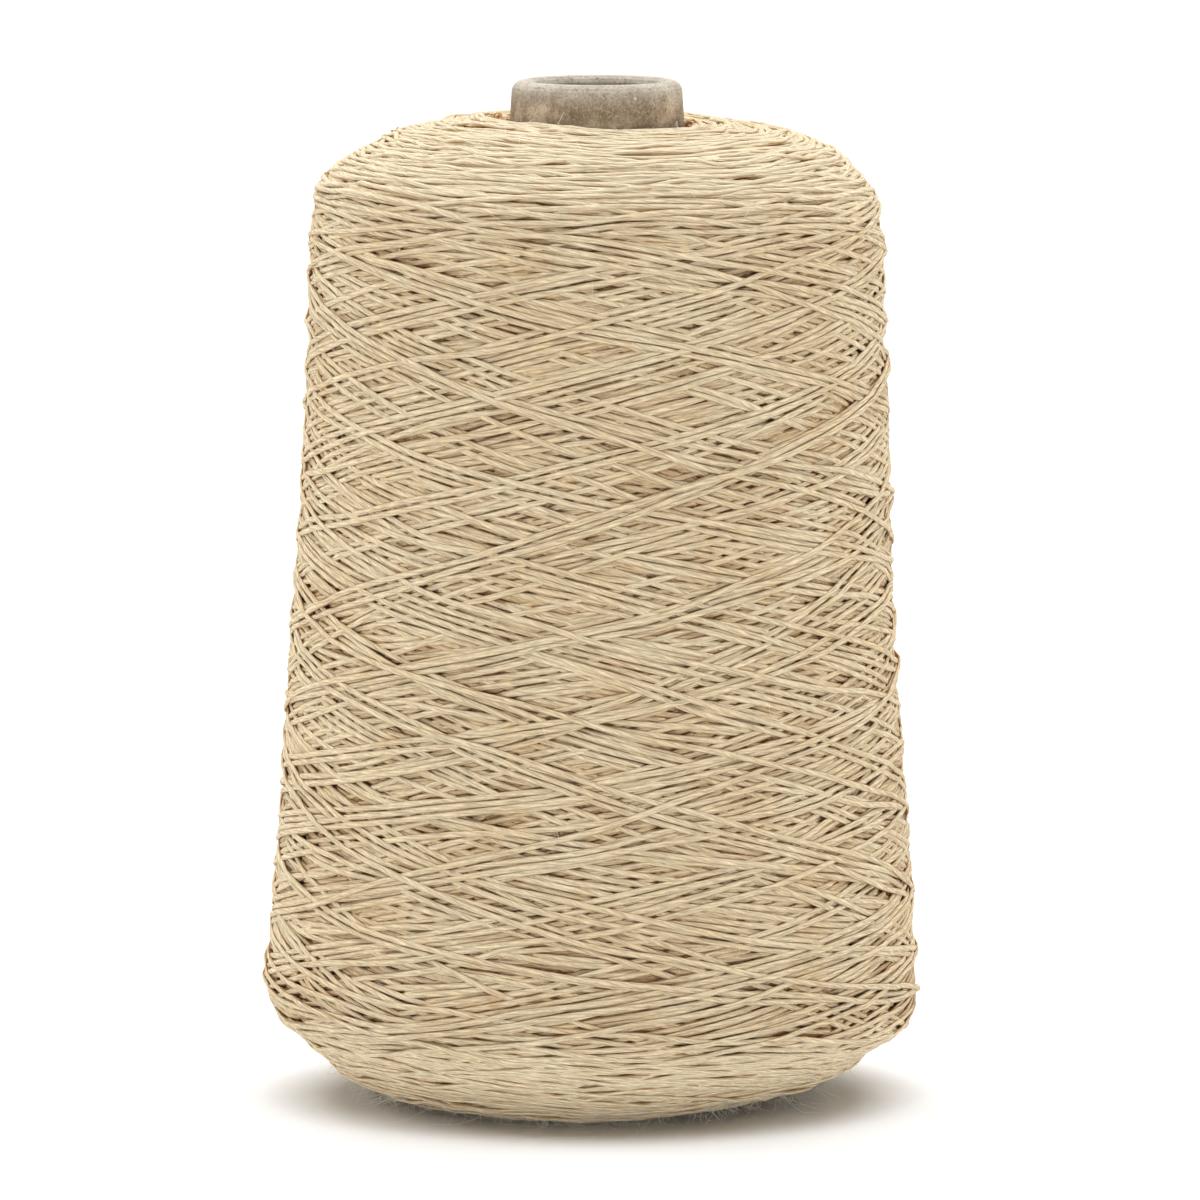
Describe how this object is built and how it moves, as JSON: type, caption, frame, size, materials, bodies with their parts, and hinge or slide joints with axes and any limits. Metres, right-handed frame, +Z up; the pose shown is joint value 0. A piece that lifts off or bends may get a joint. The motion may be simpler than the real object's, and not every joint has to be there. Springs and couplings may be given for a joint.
{
  "type": "cone of yarn",
  "caption": "Tapered package of beige cotton yarn, cross-wound on a grey paper cone with a rolled nose, domed at the top and tapered at the foot.",
  "frame": {"origin": "on the axis of the paper core, in the plane of the core's base ring, which the part stands on", "axes": "+Z up along the core's axis, from the wide base to the rolled nose; -Y towards the side that the picture shows"},
  "size_m": [0.1492, 0.1481, 0.23],
  "materials": {
    "paper": "matt grey-brown recycled paperboard, mottled with small light and dark specks",
    "yarn": "matt beige plied cotton yarn with a faint sheen and short fuzz"
  },
  "bodies": {
    "root": {"paper_core": "paper", "yarn_body": "yarn"}
  },
  "joints": []
}
